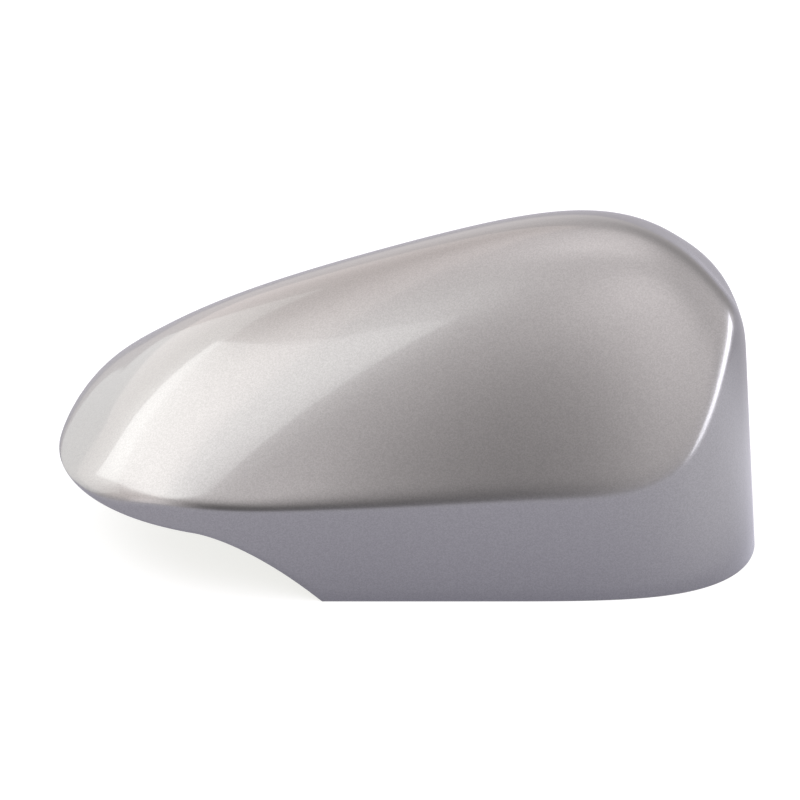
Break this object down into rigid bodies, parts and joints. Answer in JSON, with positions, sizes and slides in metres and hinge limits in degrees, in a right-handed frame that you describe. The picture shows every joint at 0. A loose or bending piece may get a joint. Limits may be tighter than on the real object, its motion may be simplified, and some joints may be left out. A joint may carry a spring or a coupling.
{
  "type": "wing mirror cover",
  "caption": "Painted cover that clips over a car's wing mirror: a thin moulded shell with a creased face, a deep end and a low nose with a cut-out rim.",
  "frame": {"origin": "middle of the cover's length and width, on the plane that the rim rests on", "axes": "+X from the low nose to the deep end, +Y from the creased side to the rolled side, +Z out of the closed face"},
  "size_m": [0.22, 0.13, 0.1043],
  "materials": {
    "paint": "metallic silver paint under clear coat, bare grey plastic inside"
  },
  "bodies": {
    "root": {"mirror_cover": "paint"}
  },
  "joints": []
}
